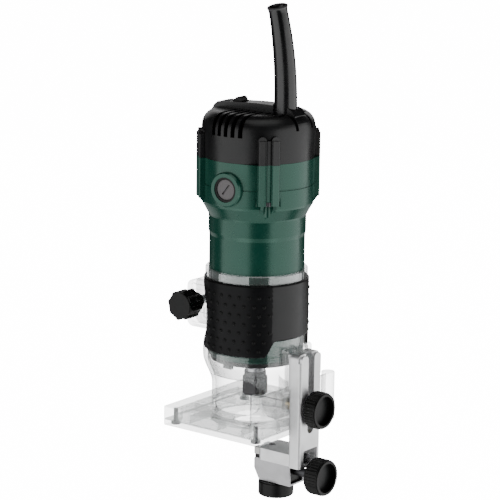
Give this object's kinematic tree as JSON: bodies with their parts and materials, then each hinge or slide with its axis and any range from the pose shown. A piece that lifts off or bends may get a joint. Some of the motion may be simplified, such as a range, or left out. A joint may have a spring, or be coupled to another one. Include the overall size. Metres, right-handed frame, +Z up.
{
  "type": "trim router",
  "caption": "Hand-held trim router: motor clamped in a clear base with a rubber grip, and a roller edge guide adjusted by two knobs.",
  "frame": {"origin": "spindle axis at the sole's lower face, in the middle of the bit opening", "axes": "+X towards the edge guide, -Y towards the clamp knob, +Z up along the spindle"},
  "size_m": [0.118, 0.09, 0.3398],
  "materials": {
    "clear_plastic": "clear polycarbonate, glossy",
    "grip_rubber": "soft black rubber, matt, moulded dots",
    "green_plastic": "dark green satin nylon",
    "black_plastic": "black nylon, fine texture",
    "knob_plastic": "black moulded knob",
    "guard_rubber": "black rubber, smooth",
    "cast_aluminium": "die-cast, satin",
    "steel": "zinc-plated steel",
    "dark_steel": "blackened steel",
    "bearing_steel": "ground bearing steel",
    "laminations": "stacked steel sheet",
    "copper": "enamelled copper wire",
    "brass": "bright brass",
    "carbon": "pressed carbon",
    "pad_plastic": "white acetal",
    "cap_plastic": "dark grey moulded cap",
    "fan_plastic": "glass-filled nylon",
    "wire_insulation": "blue insulation",
    "capacitor_case": "yellow case"
  },
  "bodies": {
    "base": {"base_housing": "clear_plastic", "sub_base": "clear_plastic", "sub_base_screws": "steel", "grip_sleeve": "grip_rubber", "guide_insert": "brass", "clamp_nut": "steel"},
    "clamp": {"clamp_knob": "knob_plastic", "clamp_stud": "steel"},
    "motor": {"motor_housing": "green_plastic", "top_cap": "black_plastic", "cap_screws": "steel", "end_plate": "black_plastic", "end_plate_screws": "steel", "front_bearing": "bearing_steel", "rear_bearing": "bearing_steel", "bearing_bridge": "black_plastic", "air_baffle": "black_plastic", "stator_core": "laminations", "field_coils": "copper", "brush_sockets": "knob_plastic", "brush_caps": "cap_plastic", "brush_holders": "brass", "carbon_brushes": "carbon", "brush_springs": "steel", "cord_guard": "guard_rubber", "cord_clamp": "black_plastic", "cord_clamp_screws": "steel", "switch_body": "knob_plastic", "suppression_capacitor": "capacitor_case", "motor_leads": "wire_insulation"},
    "rocker": {"switch_rocker": "knob_plastic"},
    "spindle": {"spindle_shaft": "steel", "front_bearing_inner": "bearing_steel", "rear_bearing_inner": "bearing_steel", "armature_core": "laminations", "armature_windings": "copper", "commutator": "copper", "cooling_fan": "fan_plastic", "collet": "steel"},
    "nut": {"collet_nut": "dark_steel"},
    "guide": {"guide_holder": "cast_aluminium"},
    "guide_clamp": {"guide_knob": "knob_plastic", "guide_knob_stud": "steel"},
    "adjuster": {"adjusting_screw": "dark_steel"},
    "arm": {"roller_arm": "cast_aluminium", "arm_pad": "pad_plastic", "arm_spacer": "knob_plastic", "roller_axle": "steel", "arm_lock_block": "knob_plastic"},
    "arm_lock": {"arm_lock_knob": "knob_plastic", "arm_lock_stud": "steel"},
    "roller": {"guide_roller": "knob_plastic"}
  },
  "joints": [
    {"name": "motor_height", "type": "slide", "parent": "base", "child": "motor", "axis": [0, 0, 1], "range_m": [0, 0.03]},
    {"name": "collar_clamp_turn", "type": "hinge", "parent": "base", "child": "clamp", "pos_m": [-0.045, 0, 0.0805], "axis": [0, -1, 0], "range_deg": [0, 720]},
    {"name": "switch_rocker_tilt", "type": "hinge", "parent": "motor", "child": "rocker", "pos_m": [-0.01858, -0.00081, 0.2184], "axis": [-0.0436, 0.999, 0], "range_deg": [0, 16]},
    {"name": "spindle_spin", "type": "hinge", "parent": "motor", "child": "spindle", "pos_m": [0, 0, 0.1], "axis": [0, 0, 1], "continuous": true},
    {"name": "collet_nut_turn", "type": "hinge", "parent": "spindle", "child": "nut", "pos_m": [0, 0, 0.03], "axis": [0, 0, -1], "range_deg": [0, 720]},
    {"name": "guide_height", "type": "slide", "parent": "base", "child": "guide", "axis": [0, 0, 1], "range_m": [-0.02, 0.012]},
    {"name": "guide_knob_turn", "type": "hinge", "parent": "base", "child": "guide_clamp", "pos_m": [0.05, 0, 0.019], "axis": [1, 0, 0], "range_deg": [0, 720]},
    {"name": "adjusting_screw_turn", "type": "hinge", "parent": "guide", "child": "adjuster", "pos_m": [0.04, 0, -0.017], "axis": [1, 0, 0], "range_deg": [-1080, 0]},
    {"name": "roller_arm_reach", "type": "slide", "parent": "guide", "child": "arm", "axis": [1, 0, 0], "range_m": [-0.003, 0]},
    {"name": "arm_lock_turn", "type": "hinge", "parent": "arm", "child": "arm_lock", "pos_m": [0.05, 0, -0.0276], "axis": [1, 0, 0], "range_deg": [0, 720]},
    {"name": "roller_spin", "type": "hinge", "parent": "arm", "child": "roller", "pos_m": [0.0194, 0, -0.042], "axis": [0, 0, 1], "continuous": true}
  ],
  "couplings": [
    {"joint": "adjusting_screw_turn", "follows": "roller_arm_reach", "rad_per_m": 6283.2}
  ]
}
